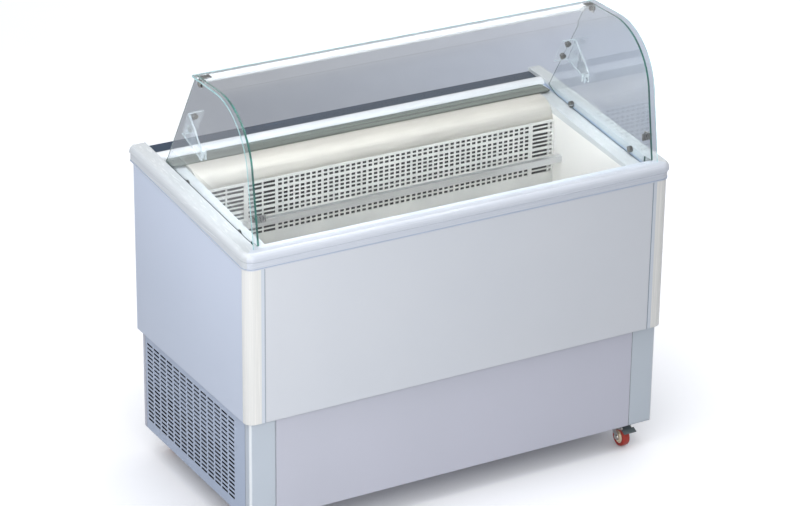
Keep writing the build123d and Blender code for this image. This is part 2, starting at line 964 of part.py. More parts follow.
def refrigerant_lines():
    """Discharge, liquid and suction lines, each from one fitting to the next."""
    x, y, z = condenser_box()
    coil_x, coil_y, _ = evaporator_box()
    coil_middle = (coil_y[0] + coil_y[1]) / 2
    (liquid_x, wall_y), (suction_x, _) = line_places()
    liquid_z, suction_z = line_heights()
    condenser_middle = (x[0] + x[1]) / 2
    shell_y = compressor_y + compressor_radius
    run_y = y[1] + line_reach * line_bend
    high_z = z[0] + condenser_height * discharge_share
    mid_z = z[0] + condenser_height * suction_share
    low_z = z[0] + condenser_height * liquid_share
    discharge = (
        (compressor_x, shell_y, high_z),
        (compressor_x, run_y, high_z),
        (condenser_middle, run_y, high_z),
        (condenser_middle, y[1], high_z),
    )
    liquid = (
        (condenser_middle, y[1], low_z),
        (condenser_middle, wall_y, low_z),
        (liquid_x, wall_y, low_z),
        (liquid_x, wall_y, liquid_z),
        (liquid_x, coil_middle, liquid_z),
        (coil_x[1], coil_middle, liquid_z),
    )
    return_y = wall_y - line_reach * line_bend
    suction = (
        (coil_x[1], coil_middle, suction_z),
        (suction_x, coil_middle, suction_z),
        (suction_x, wall_y, suction_z),
        (suction_x, wall_y, mid_z),
        (suction_x, return_y, mid_z),
        (compressor_x, return_y, mid_z),
        (compressor_x, shell_y, mid_z),
    )
    for route in (discharge, liquid, suction):
        yield bent_tube(route, line_radius, line_bend)


def drain_pipe():
    low = base_bottom - drain_below
    pipe = rod((drain_x, drain_y, low), (0, 0, 1), drain_radius, tank_floor - low)
    bore = rod((drain_x, drain_y, low), (0, 0, 1), drain_radius - drain_wall, tank_floor - low)
    return pipe - bore


# Control unit: bezel and body, two keys, rocker; and the mains inlet
def key_centres():
    for index in (-1, 1):
        yield control_x + key_offset + index * key_spacing / 2


def rocker_axis():
    """Middle of the rocker's pivot."""
    y = base_rear + control_bezel - rocker_depth * rocker_axis_share
    return control_x + rocker_offset, y, control_z


def control_unit():
    face = base_rear + control_bezel
    place = Pos(control_x, control_z)
    bezel = place * RectangleRounded(control_width, control_height, control_corner)
    unit = extrude(Plane.XZ.offset(-face) * bezel, amount=control_bezel)
    body = place * offset(control_opening(), -key_gap)
    unit += extrude(Plane.XZ.offset(-base_rear) * body, amount=control_body)
    pocket = key_length + 3 * key_travel
    for x in key_centres():
        half_x = key_width / 2 + key_gap
        half_z = key_height / 2 + key_gap
        span_z = (control_z - half_z, control_z + half_z)
        unit -= block((x - half_x, x + half_x), (face - pocket, face), span_z)
    x, y, z = rocker_axis()
    half_x = rocker_width / 2 + rocker_gap
    half_z = rocker_height / 2 + rocker_gap
    unit -= block((x - half_x, x + half_x), (face - 2 * rocker_depth, face), (z - half_z, z + half_z))
    pin_reach = half_x + rocker_pin_length
    unit -= rod((x - pin_reach, y, z), (1, 0, 0), rocker_pin_radius + running_gap, 2 * pin_reach)
    return unit


def control_key(x):
    face = base_rear + control_bezel + key_proud
    half_x = key_width / 2
    half_z = key_height / 2
    span_z = (control_z - half_z, control_z + half_z)
    key = block((x - half_x, x + half_x), (face - key_length, face), span_z)
    outer = key.edges().group_by(Axis.Y)[-1]
    return fillet(outer, key_round)


def switch_rocker():
    x, y, z = rocker_axis()
    half_x = rocker_width / 2
    half_z = rocker_height / 2
    front = y + rocker_depth * rocker_front_share
    back = y - rocker_depth * rocker_back_share
    tip = half_z * rocker_tip_share
    root = half_z * rocker_root_share
    dish = outline(
        (back, z - root),
        (front, z - tip),
        (y + rocker_depth * rocker_dish_share, z),
        (front, z + tip),
        (back, z + root),
    )
    rocker = plate_at(dish, x - half_x, x + half_x)
    pin_reach = half_x + rocker_gap + rocker_pin_length - seam
    rocker += rod((x - pin_reach, y, z), (1, 0, 0), rocker_pin_radius, 2 * pin_reach)
    return rocker.rotate(Axis((x, y, z), (1, 0, 0)), rocker_tilt)


def power_inlet():
    place = (inlet_x, base_rear, inlet_z)
    gland = rod(place, (0, 1, 0), inlet_radius, inlet_radius)
    gland += rod(place, (0, -1, 0), inlet_hole_radius, panel_sheet)
    behind = (inlet_x, base_rear - panel_sheet, inlet_z)
    gland += rod(behind, (0, -1, 0), inlet_nut_radius, inlet_nut_height)
    bore_length = inlet_radius + panel_sheet + inlet_nut_height
    return gland - rod((inlet_x, base_rear + inlet_radius, inlet_z), (0, -1, 0), cord_radius, bore_length)


# Glass hood
def front_glass_line(inset):
    """Foot, knee and rear edge of the front glass, set in from its outer face."""
    lean = radians(glass_lean)
    low = rim_top(foot_y)
    shift = inset / cos(lean)
    top = glass_top - inset
    foot = (foot_y + shift, low)
    knee = (foot_y + shift + (top - low) * tan(lean), top)
    return foot, knee, (glass_rear_y, top)


def front_glass():
    pane = prism(bent_sheet(front_glass_line(0), glass, glass_bend), glass_half_length)
    return split(pane, bisect_by=rim_plane, keep=Keep.TOP)


def end_glass_outer():
    """Outer face of the end glass, measured from the middle of the case."""
    return raised_end - end_glass_gap


def end_glass_outline():
    foot, knee, top = front_glass_line(glass + glass_clear)
    tongue_front = well_front + end_glass_tongue_front
    above = rim_top(tongue_front) + glass_clear
    start_y = foot[0] + (above - foot[1]) * tan(radians(glass_lean))
    curve = FilletPolyline(
        (start_y, above),
        knee,
        (end_glass_apex_y, top[1]),
        radius=glass_bend - glass - glass_clear,
    )
    rest = Polyline(
        (end_glass_apex_y, top[1]),
        (end_glass_rear_y, rim_top(end_glass_rear_y)),
        (end_glass_tongue_rear, ledge_top(end_glass_tongue_rear) + end_glass_lift),
        (tongue_front, ledge_top(tongue_front) + end_glass_lift),
        (tongue_front, above),
        (start_y, above),
    )
    return make_face(curve.edges() + rest.edges())


def end_glass(side):
    outer = end_glass_outer()
    x = sorted((side * outer, side * (outer - glass)))
    pane = plate_at(end_glass_outline(), *x)
    places = [(y, rim_top(y) - rim_bolt_drop) for y in (rim_bolt_rear_y, rim_bolt_front_y)]
    places += [place[1:] for place in clamp_end_holes()]
    for y, z in places:
        pane -= rod((x[0] - glass, y, z), (1, 0, 0), bolt_radius + bolt_hole, 3 * glass)
    return pane


def clamp_frames():
    """Frames of the clamps on one side: origin on the bent pane's inner face at the end glass's inner
    face, first axis along the pane, second axis away from the pane into the hood."""
    inner_x = end_glass_outer() - glass
    lean = radians(glass_lean)
    top = Vector(inner_x, glass_rear_y - clamp_rear_inset, glass_top - glass)
    up = clamp_front_height
    foot, _, _ = front_glass_line(glass)
    front = Vector(inner_x, foot[0] + up * tan(lean), foot[1] + up)
    yield top, Vector(0, 0, -1)
    yield front, Vector(0, cos(lean), -sin(lean))


def clamp_middle():
    return (clamp_leg + clamp_sheet) / 2


def clamp_end_holes():
    """Bolts through the end glass, on one side."""
    for origin, inward in clamp_frames():
        point = origin + inward * clamp_middle()
        yield point.X, point.Y, point.Z


def clamp_sections(side):
    """One folded angle per clamp, with a leg bonded to the bent pane and a leg bolted to the end glass."""
    for origin, inward in clamp_frames():
        corner = Vector(side * origin.X, origin.Y, origin.Z)
        plane = Plane(origin=corner, x_dir=(-side, 0, 0), z_dir=Vector(-side, 0, 0).cross(inward))
        legs = Polyline(
            (0, 0),
            (clamp_leg, 0),
            (clamp_leg, clamp_sheet),
            (clamp_sheet, clamp_sheet),
            (clamp_sheet, clamp_leg),
            (0, clamp_leg),
            close=True,
        )
        angle = extrude(plane * make_face(legs), amount=clamp_width / 2, both=True)
        start = plane.from_local_coords(Vector(-clamp_sheet, clamp_middle(), 0))
        yield angle - rod(start, plane.x_dir, bolt_radius + bolt_hole, 3 * clamp_sheet)


def bolt(start, direction, grip):
    """Bolt whose head sits at a point and whose shank runs along a direction, with a nut at its end."""
    axis = Vector(*direction)
    base = Vector(*start)
    head = rod(base, axis * -1, bolt_head_radius, bolt_head_height)
    crown = head.edges().sort_by_distance(base - axis * bolt_head_height)[0]
    head = fillet(crown, bolt_head_height * bolt_round_share)
    shank = rod(base, axis, bolt_radius, grip + bolt_head_height)
    nut = rod(base + axis * grip, axis, bolt_head_radius * bolt_nut_share, bolt_head_height)
    return head + shank + nut


def glass_bolts():
    outer = end_glass_outer()
    for _, side in sides:
        for _, y, z in clamp_end_holes():
            yield bolt((side * outer, y, z), (-side, 0, 0), glass + clamp_sheet)
        for place, forward in bracket_holes(side):
            yield bolt(place + forward * bracket_thickness, forward * -1, bracket_thickness)


def rim_bolts():
    """Bolts that hang the end glasses on the rim, with the spacer rings behind the panes."""
    inner = end_glass_outer() - glass
    for _, side in sides:
        for y in (rim_bolt_rear_y, rim_bolt_front_y):
            z = rim_top(y) - rim_bolt_drop
            head = rod((side * inner, y, z), (-side, 0, 0), bolt_head_radius, bolt_head_height)
            length = glass + end_glass_gap + rim_bolt_depth
            yield head + rod((side * inner, y, z), (side, 0, 0), bolt_radius, length)
            ring = rod((side * end_glass_outer(), y, z), (side, 0, 0), bolt_head_radius, end_glass_gap)
            yield ring - rod((side * inner, y, z), (side, 0, 0), bolt_radius, length)


def bar_place():
    return glass_rear_y, glass_top - glass - bar_drop


def top_bar():
    y, z = bar_place()
    half = end_glass_outer() - glass - bar_end_gap
    bar = rod((-half, y, z), (1, 0, 0), bar_radius, 2 * half)
    return bar - rod((-half, y, z), (1, 0, 0), bar_radius - bar_wall, 2 * half)


def bar_fittings():
    y, z = bar_place()
    inner = end_glass_outer() - glass
    half = inner - bar_end_gap
    for _, side in sides:
        plug = rod((side * inner, y, z), (-side, 0, 0), bar_plug_radius, bar_end_gap)
        tail = rod((side * half, y, z), (-side, 0, 0), bar_radius - bar_wall, bar_end_gap)
        ring = rod((side * half, y, z), (side, 0, 0), bar_ring_radius, bar_ring_length)
        yield plug + tail + ring


def bracket_rear_edge():
    """Upper and lower end of the bracket's fold, and the direction square to it toward the front."""
    upper = Vector(0, *bracket_outline[0])
    lower = Vector(0, *bracket_outline[-1])
    down = (lower - upper).normalized()
    return upper, lower, Vector(0, down.Z, -down.Y)


def bracket_holes(side):
    """Bolt places on the flange's rear face, and the direction through it toward the front."""
    upper, lower, forward = bracket_rear_edge()
    inset = (lower - upper).normalized() * bracket_bolt_inset
    middle = Vector(side * (end_glass_outer() - glass - bracket_flange / 2), 0, 0)
    for point in (upper + inset, lower - inset):
        yield point + middle, forward


def bracket(side):
    inner = end_glass_outer() - glass
    upper, lower, forward = bracket_rear_edge()
    fold = forward * bracket_thickness
    flange_corners = [(corner.Y, corner.Z) for corner in (upper, lower, lower + fold, upper + fold)]
    flange_x = sorted((side * inner, side * (inner - bracket_flange)))
    flange = plate_at(outline(*flange_corners), *flange_x)
    for place, direction in bracket_holes(side):
        flange -= rod(place - direction, direction, bolt_radius + bolt_hole, 2 * bracket_thickness)
    arm_x = sorted((side * inner, side * (inner - bracket_thickness)))
    plate = plate_at(outline(*bracket_outline), *arm_x) + flange
    _, upper_tip, lower_tip, _ = bracket_outline
    tip_y = (upper_tip[0] + lower_tip[0]) / 2
    high = (upper_tip[1] + lower_tip[1]) / 2 + clip_rise
    clip_x = sorted((side * inner, side * (inner - clip_width)))
    clip_y = (tip_y - clip_depth / 2, tip_y + clip_depth / 2)
    plate += block(clip_x, clip_y, (high - clip_height, high))
    slot_x = sorted((side * (inner - bracket_thickness), side * (inner - bracket_thickness - clip_gap)))
    return plate - block(slot_x, clip_y, (high - clip_height, high - clip_rise))


# Casters: plate with kingpin, fork with axle, wheel, and a brake pedal on the front pair
def caster_places():
    for row, toward in (("front", -1), ("rear", 1)):
        for name, side in sides:
            x = side * (base_end - caster_end_inset)
            y = base_front + caster_front_inset if toward < 0 else -(base_front + caster_front_inset)
            yield f"{row}_{name}", row, Pos(x, y, 0) * Rot(0, 0, 0 if toward < 0 else 180)


race_bottom = base_bottom - caster_plate_thickness - race_height
crown_top = race_bottom - crown_gap
crown_bottom = crown_top - crown_thickness
fork_inner = wheel_width / 2 + fork_gap
fork_outer = fork_inner + fork_sheet
pedal_pivot = (-caster_trail - pedal_pivot_forward, wheel_radius + pedal_pivot_up)


def caster_plate():
    half = caster_plate_size / 2
    plate = block((-half, half), (-half, half), (base_bottom - caster_plate_thickness, base_bottom))
    plate += rod((0, 0, race_bottom), (0, 0, 1), race_radius, race_height)
    nut_top = crown_bottom - crown_gap
    plate += rod((0, 0, nut_top), (0, 0, 1), kingpin_radius, base_bottom - nut_top)
    return plate + rod((0, 0, nut_top), (0, 0, -1), kingpin_nut_radius, kingpin_nut_height)


def caster_fork(braked):
    eye = axle_radius + 2 * fork_sheet
    eye_side = eye * sin(radians(fork_eye_turn))
    cheek = outline(
        (race_radius, crown_top),
        (race_radius, crown_bottom),
        (-caster_trail + eye, wheel_radius),
        (-caster_trail - eye_side, wheel_radius + eye_side),
        (-eye, crown_top),
    )
    cheek += Pos(-caster_trail, wheel_radius) * Circle(eye)
    if braked:
        y, z = pedal_pivot
        ear = 2 * pedal_pin_radius
        cheek += Pos(y, z) * Circle(ear)
        ear_low = wheel_radius * brake_ear_share
        cheek += outline((y, z - ear), (y, z + ear), (0, crown_top), (0, ear_low))
    fork = rod((0, 0, crown_bottom), (0, 0, 1), race_radius, crown_thickness)
    fork += block((-fork_outer, fork_outer), (-race_radius, race_radius), (crown_bottom, crown_top))
    for side in (-1, 1):
        x = sorted((side * fork_inner, side * fork_outer))
        fork += plate_at(cheek, *x)
    fork -= rod((0, 0, 0), (0, 0, 1), kingpin_radius + running_gap, crown_top + crown_gap)
    axle_half = fork_outer + axle_nut_height
    axle_start = (-axle_half, -caster_trail, wheel_radius)
    fork += rod(axle_start, (1, 0, 0), axle_radius, 2 * axle_half)
    for side in (-1, 1):
        nut_start = (side * fork_outer, -caster_trail, wheel_radius)
        fork += rod(nut_start, (side, 0, 0), axle_nut_radius, axle_nut_height)
    if braked:
        y, z = pedal_pivot
        fork += rod((-fork_outer, y, z), (1, 0, 0), pedal_pin_radius, 2 * fork_outer)
    return fork


def caster_wheel():
    half = wheel_width / 2
    tyre = Rot(0, 90, 0) * Cylinder(wheel_radius, wheel_width)
    tyre = fillet(tyre.edges(), tread_round)
    for side in (-1, 1):
        recess = rod((side * half, 0, 0), (-side, 0, 0), hub_radius, hub_recess)
        tyre -= recess - rod((side * half, 0, 0), (-side, 0, 0), 2 * axle_radius, hub_recess)
    tyre -= rod((-half, 0, 0), (1, 0, 0), axle_radius + running_gap, wheel_width)
    return Pos(0, -caster_trail, wheel_radius) * tyre


def brake_pedal():
    y, z = pedal_pivot
    barrel_half = fork_inner - crown_gap
    pedal = rod((-barrel_half, 0, 0), (1, 0, 0), pedal_barrel_radius, 2 * barrel_half)
    low = pedal_barrel_radius - pedal_sheet
    neck = block((-barrel_half, barrel_half), (-pedal_neck, 0), (low, pedal_barrel_radius))
    pad = block((-pedal_width / 2, pedal_width / 2), (-pedal_reach, -pedal_neck), (low, pedal_barrel_radius))
    pedal += neck + pad
    pedal -= rod((-barrel_half, 0, 0), (1, 0, 0), pedal_pin_radius + running_gap, 2 * barrel_half)
    return Pos(0, y, z) * Rot(pedal_slope, 0, 0) * pedal


os.makedirs("parts", exist_ok=True)

save("base_plate", base_plate())
save("base_front_panel", base_front_panel())
save("base_rear_panel", base_rear_panel())
save("body_floor", body_floor())
save("upper_front_panel", upper_front_panel())
save("upper_rear_panel", upper_rear_panel())
save("insulation_foam", insulation_foam())
save("inner_tank", inner_tank())
save("rim_front", rim_front())
save("rear_deck", rear_deck())
save("rear_rail", rear_rail())
save("steel_strip", steel_strip())
save("air_hood", air_hood())
save("rear_grille", rear_grille())
save_group("pan_rails", pan_rails())
save("fan_plate", fan_plate())
save_group("evaporator_motors", evaporator_motors())
save("evaporator_coil", evaporator_coil())
save("condenser_coil", condenser_coil())
save("condenser_shroud", condenser_shroud())
save("condenser_motor", condenser_motor())
save("condenser_fan", condenser_fan())
save("compressor", compressor())
save_group("refrigerant_lines", refrigerant_lines())
save("drain_pipe", drain_pipe())
save("control_unit", control_unit())
for key_name, key_x in zip(("down", "up"), key_centres()):
    save(f"control_key_{key_name}", control_key(key_x))
save("switch_rocker", switch_rocker())
save("power_inlet", power_inlet())
save("front_glass", front_glass())
save_group("glass_clamps", [angle for _, side in sides for angle in clamp_sections(side)])
save_group("glass_bolts", [*glass_bolts(), *rim_bolts()])
save_group("hood_brackets", [bracket(side) for _, side in sides])
save_group("top_bar", [top_bar(), *bar_fittings()])
for side_name, side in sides:
    save(f"base_post_{side_name}", base_post(side))
    save(f"base_vent_{side_name}", vent_panel(side))
    save(f"upper_panel_{side_name}", upper_end_panel(side))
    save(f"corner_profile_{side_name}", corner_profile(side))
    save(f"rim_{side_name}", rim_end(side))
    save(f"evaporator_fan_{side_name}", evaporator_fan(side))
    save(f"end_glass_{side_name}", end_glass(side))

save_group("caster_plates", [place * caster_plate() for _, _, place in caster_places()])
for corner_name, row, place in caster_places():
    braked = row == "front"
    save(f"caster_fork_{corner_name}", place * caster_fork(braked))
    save(f"caster_wheel_{corner_name}", place * caster_wheel())
    if braked:
        save(f"brake_pedal_{corner_name}", place * brake_pedal())
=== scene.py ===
# %% [markdown]
# This script dresses a refrigerated display case. The solids were drawn first, in millimetres, and packed
# as a frame; here they get their surfaces, their glass edges, their wheels, a floor, lights and a camera.
# The frame could be copied and reshaped, but then looks and mechanism would drift apart, so its meshes
# stay as they are.

import bpy
import numpy as np
from mathutils import Matrix, Vector


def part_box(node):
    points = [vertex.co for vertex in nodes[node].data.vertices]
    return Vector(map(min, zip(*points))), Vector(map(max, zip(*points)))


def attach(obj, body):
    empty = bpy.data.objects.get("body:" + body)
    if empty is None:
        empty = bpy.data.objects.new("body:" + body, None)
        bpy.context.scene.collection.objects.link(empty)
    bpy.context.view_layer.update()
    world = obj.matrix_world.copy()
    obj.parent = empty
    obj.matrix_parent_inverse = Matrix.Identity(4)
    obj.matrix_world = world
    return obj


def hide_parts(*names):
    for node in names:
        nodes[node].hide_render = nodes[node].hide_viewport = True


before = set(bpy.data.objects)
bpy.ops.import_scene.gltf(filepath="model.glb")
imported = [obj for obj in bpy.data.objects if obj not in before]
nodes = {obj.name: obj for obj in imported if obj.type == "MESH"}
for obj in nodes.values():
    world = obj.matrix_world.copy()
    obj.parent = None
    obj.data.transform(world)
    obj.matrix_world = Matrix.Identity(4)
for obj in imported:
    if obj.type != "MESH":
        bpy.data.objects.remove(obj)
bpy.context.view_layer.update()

# %% [markdown]
# Colours are written the way a paint chart gives them, as sRGB hex, and shaders want linear light. One
# function does the change. Another adds a shader node with its settings and its links, so every material
# below reads as a list of what it is made of. Pattern sizes are given in millimetres, because that is how
# a surface is measured.

# %% Colours, sizes and nodes
millimetres_in_metre = 1000.0


def linear(hex_colour):
    """The sRGB curve undone: a straight part near black, then a power of 2.4."""
    value = np.array([int(hex_colour[start:start + 2], 16) for start in (1, 3, 5)]) / 255
    light = np.where(value <= 0.04045, value / 12.92, ((value + 0.055) / 1.055) ** 2.4)
    return (*light.tolist(), 1.0)


def per_metre(size):
    """How many features of a size in millimetres fit in a metre, which is what a pattern's scale means."""
    return millimetres_in_metre / size


def add(tree, kind, settings, inputs):
    """Adds one node. Settings are its own properties; an input is a value, or a socket to link."""
    node = tree.nodes.new(kind)
    for name, value in settings.items():
        setattr(node, name, value)
    for name, value in inputs.items():
        if isinstance(value, bpy.types.NodeSocket):
            tree.links.new(value, node.inputs[name])
        else:
            node.inputs[name].default_value = value
    return node


print("half-bright grey as linear light:", round(linear("#808080")[0], 3))

# %% [markdown]
# Nearly every finish here is one Principled shader. Its tone and its gloss drift a little along a noise, and
# a small relief tilts its normal. A painted image could give that too, but a pattern worked out from a size
# stays sharp at any distance and needs no file. Where a piece carries two tones, one is laid over the other
# by a mask.

# %% Finishes and their patterns
ramp_start, ramp_end = 0.35, 0.65
noise_detail = 3.0


def new_finish(name, inputs):
    """A material with one Principled shader; returns it, its tree, the shader and the object coordinates."""
    material = bpy.data.materials.new(name)
    material.use_nodes = True
    tree = material.node_tree
    tree.nodes.clear()
    shader = add(tree, "ShaderNodeBsdfPrincipled", {}, inputs)
    add(tree, "ShaderNodeOutputMaterial", {}, {"Surface": shader.outputs[0]})
    place = add(tree, "ShaderNodeTexCoord", {}, {}).outputs["Object"]
    return material, tree, shader, place


def parts_of(material):
    """The tree, the shader and the object coordinates of a finish that is already made."""
    tree = material.node_tree
    place = tree.nodes["Texture Coordinate"].outputs["Object"]
    return tree, tree.nodes["Principled BSDF"], place


def grain(tree, place, size, stretch=(1, 1, 1)):
    """Noise whose features are a size in millimetres, drawn out along an axis where stretch is below 1."""
    mapped = add(tree, "ShaderNodeMapping", {}, {"Vector": place, "Scale": stretch})
    settings = {"Vector": mapped.outputs[0], "Scale": per_metre(size), "Detail": noise_detail}
    return add(tree, "ShaderNodeTexNoise", {}, settings).outputs[0]


def drift(tree, shader, noise, pale, deep, roughness=None):
    """Colour moves between two close tones along one noise, and roughness, if given, between two values."""
    ramp = add(tree, "ShaderNodeValToRGB", {}, {"Fac": noise})
    deep_end, pale_end = ramp.color_ramp.elements
    deep_end.position = ramp_start
    deep_end.color = linear(deep)
    pale_end.position = ramp_end
    pale_end.color = linear(pale)
    tree.links.new(ramp.outputs[0], shader.inputs["Base Color"])
    if roughness is not None:
        low, high = roughness
        spread = {"Value": noise, "To Min": low, "To Max": high}
        varied = add(tree, "ShaderNodeMapRange", {}, spread).outputs[0]
        tree.links.new(varied, shader.inputs["Roughness"])


def relief(tree, shader, height, depth, strength=0.4, edge=0.0):
    """Small relief from a height pattern, over edges rounded to a radius; depth and edge in millimetres."""
    bump = {"Height": height, "Distance": depth / millimetres_in_metre, "Strength": strength}
    if edge > 0:
        rounding = {"Radius": edge / millimetres_in_metre}
        bump["Normal"] = add(tree, "ShaderNodeBevel", {}, rounding).outputs[0]
    tree.links.new(add(tree, "ShaderNodeBump", {}, bump).outputs[0], shader.inputs["Normal"])


def overlay(tree, shader, mask, colour):
    """Lays a colour over what the shader shows so far, where the mask is one."""
    # The Mix node has sockets for every kind of data: input 0 is the factor, 6 and 7 are the two
    # colours, and output 2 is the mixed colour.
    below = shader.inputs["Base Color"].links[0].from_socket
    layers = {0: mask, 6: below, 7: linear(colour)}
    both = add(tree, "ShaderNodeMix", {"data_type": "RGBA"}, layers)
    tree.links.new(both.outputs[2], shader.inputs["Base Color"])


def dress(material, *names):
    """Puts a material on CAD nodes in place of the plain one they came with."""
    for name in names:
        slots = nodes[name].data.materials
        slots.clear()
        slots.append(material)
    print(material.name, "on", len(names), "nodes")


print("tones change over the middle", round(ramp_end - ramp_start, 2), "of each noise")

# %% [markdown]
# The outer panels are steel sheet with a baked powder coat. The powder melts into a skin with a faint orange
# peel, waves a few millimetres long and hundredths deep. The finer waves are too small for this picture, so
# the peel is drawn at 5 mm. A slow drift of tone over most of a metre keeps a large flat panel from looking
# like paper. The coat also rounds the folded edges, which then catch a thin line of light. Inside the base
# the sheets carry only primer, drawn near black as painted shade for the dark in there, so the vent slots
# look into the dark.

# %% Powder-coated steel
peel_size, peel_depth = 5.0, 0.06
panel_drift = 700.0
satin = (0.30, 0.42)
primer_and_inside_shade = "#0F141B"
fold_radius = 2.0


def powder_coat(name, pale, deep, inside_point=None, sheen=0.5, edge=fold_radius):
    """Slow tone drift, fine orange peel, satin sheen; near-black primer as painted shade on faces that look
    at a point inside.

    A face looks at the point if the dot product of its normal and the way from there to it is negative.
    """
    material, tree, shader, place = new_finish(name, {"IOR": 1.5, "Specular IOR Level": sheen})
    drift(tree, shader, grain(tree, place, panel_drift), pale, deep, satin)
    relief(tree, shader, grain(tree, place, peel_size), peel_depth, edge=edge)
    if inside_point is not None:
        way = {0: place, 1: inside_point}
        outward = add(tree, "ShaderNodeVectorMath", {"operation": "SUBTRACT"}, way).outputs[0]
        normal = add(tree, "ShaderNodeNewGeometry", {}, {}).outputs["True Normal"]
        pair = {0: normal, 1: outward}
        facing = add(tree, "ShaderNodeVectorMath", {"operation": "DOT_PRODUCT"}, pair).outputs["Value"]
        inside = add(tree, "ShaderNodeMath", {"operation": "LESS_THAN"}, {0: facing, 1: 0.0}).outputs[0]
        # The primer's near-black tone is painted shade for the dark inside the base.
        overlay(tree, shader, inside, primer_and_inside_shade)
    return material


dress(
    powder_coat("pale_blue_powder_coated_steel", "#DBDEE3", "#D7DBE1"),
    "upper_front_panel", "upper_rear_panel",
)
# The end panels take a bluer tone than the front and rear panels.
dress(
    powder_coat("bluer_tone_powder_coated_end", "#D0D9E9", "#CBD5E6"),
    "upper_panel_left", "upper_panel_right",
)

# %% [markdown]
# The base is coated in three greys, one for its flat panels, one for its posts and one for its vents. All
# of them carry the near-black primer inside, which is partly painted shade, so each needs a point that its
# inner faces look at. The point midway between the two front posts, just behind the front panel, serves for
# all of them.

# %% Coats of the base
post_radius = 7.0
post_boxes = np.array([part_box(f"base_post_{side}") for side in ("left", "right")])
posts_low = post_boxes[:, 0].min(axis=0)
posts_high = post_boxes[:, 1].max(axis=0)
base_inside = tuple(((posts_low + posts_high) / 2).tolist())
print("point inside the base at", np.round(base_inside, 4).tolist())
dress(
    powder_coat("lavender_grey_powder_coated_steel", "#CDCEDA", "#C8CAD5", base_inside),
    "base_front_panel", "base_rear_panel", "base_plate", "body_floor",
)
post_coat = powder_coat(
    "pale_grey_powder_coated_post", "#CAD3DB", "#C5CED7", base_inside, edge=post_radius,
)
dress(post_coat, "base_post_left", "base_post_right")
dress(
    powder_coat("blue_grey_powder_coated_vent", "#B8C5DA", "#B2C0D6", base_inside),
    "base_vent_left", "base_vent_right",
)

# %% [markdown]
# The outer edge of each post is a rounded fold that shows as a thin bright line. The light could draw it
# alone, but soft boxes draw it too faintly, so a paler tone is laid along it and fades within millimetres.
# With all coordinates made positive, one upright line stands for the folds of both posts.

# %% Bright fold of the posts
fold_line = (posts_high[0], -posts_low[1], 0.0)
fold_bright, fold_faded = 0.004, 0.0075
fold_tone = "#F4F8FB"
tree, shader, place = parts_of(post_coat)
positive = add(tree, "ShaderNodeVectorMath", {"operation": "ABSOLUTE"}, {0: place}).outputs[0]
flatten = {0: positive, 1: (1, 1, 0)}
level = add(tree, "ShaderNodeVectorMath", {"operation": "MULTIPLY"}, flatten).outputs[0]
reach = {0: level, 1: fold_line}
away = add(tree, "ShaderNodeVectorMath", {"operation": "DISTANCE"}, reach).outputs["Value"]
fade = {"Value": away, "From Min": fold_bright, "From Max": fold_faded, "To Min": 1.0, "To Max": 0.0}
overlay(tree, shader, add(tree, "ShaderNodeMapRange", {}, fade).outputs[0], fold_tone)
print("bright folds", np.round(fold_line[:2], 4).tolist(), "metres from the middle, in x and y")

# %% [markdown]
# Two coated sheets lie in and behind the well. The deck is a matt slate blue that mirrors very little, and
# the tank's liner is a clean white. They are the same coat in other tones, so the same function makes them.

# %% Deck and liner
matt = 0.15
dress(powder_coat("slate_blue_matt_deck", "#2F4157", "#26364A", sheen=matt), "rear_deck")
dress(powder_coat("white_coated_tank_liner", "#F4F2EE", "#F0EEEA"), "inner_tank")

# %% [markdown]
# Corner profiles and rims are extruded white PVC. The die leaves fine lines along the length, which show as
# a streaky gloss. The same noise does this when it is drawn out a hundredfold along the way the profile ran.
# Real die lines are tenths of a millimetre apart, so they are drawn at 2.5 mm to show at all.

# %% Extruded white plastic
line_size, line_depth, line_strength = 2.5, 0.03, 0.12
streaky = (0.20, 0.32)
drawn_out = 0.01
along = {"x": (drawn_out, 1, 1), "y": (1, drawn_out, 1), "z": (1, 1, drawn_out)}


def extruded_plastic(name, pale, deep, axis):
    """Die lines along one axis in tone, gloss and relief, under a thin clear gloss."""
    skin = {"IOR": 1.53, "Coat Weight": 0.25, "Coat Roughness": 0.08}
    material, tree, shader, place = new_finish(name, skin)
    lines = grain(tree, place, line_size, along[axis])
    drift(tree, shader, lines, pale, deep, streaky)
    relief(tree, shader, lines, line_depth, line_strength)
    return material


rim_front = extruded_plastic("white_extruded_rim_front", "#D6DBE4", "#D0D6E0", "x")
# The end rims take a greyer, darker tone than the front rim.
rim_end = extruded_plastic("white_extruded_rim_end", "#D0D4D6", "#CACFD2", "y")
corner_white = extruded_plastic("white_extruded_corner", "#EDECE7", "#E7E7E3", "z")
dress(rim_front, "rim_front")
dress(rim_end, "rim_left", "rim_right")
dress(corner_white, "corner_profile_left", "corner_profile_right")
dress(extruded_plastic("white_extruded_rail", "#E9ECF0", "#E4E8ED", "x"), "rear_rail", "top_bar")

# %% [markdown]
# In the grooves between the rim's tiers, where the rim shades itself, the white turns blue-grey. The soft
# boxes draw that too faintly. Ambient occlusion measures how much of the sky the piece hides from its own
# points, so it finds the grooves and says where the darker tone goes.

# %% Grooves of the rims
groove_reach = 0.014
groove_dark, groove_clear = 0.55, 0.92
groove_tone = "#9FB0CC"
for material in (rim_front, rim_end):
    tree, shader, place = parts_of(material)
    sky = add(tree, "ShaderNodeAmbientOcclusion", {"only_local": True}, {"Distance": groove_reach})
    shade = {"From Min": groove_dark, "From Max": groove_clear, "To Min": 1.0, "To Max": 0.0}
    shade["Value"] = sky.outputs["AO"]
    overlay(tree, shader, add(tree, "ShaderNodeMapRange", {}, shade).outputs[0], groove_tone)
    print("grooves laid over", material.name)
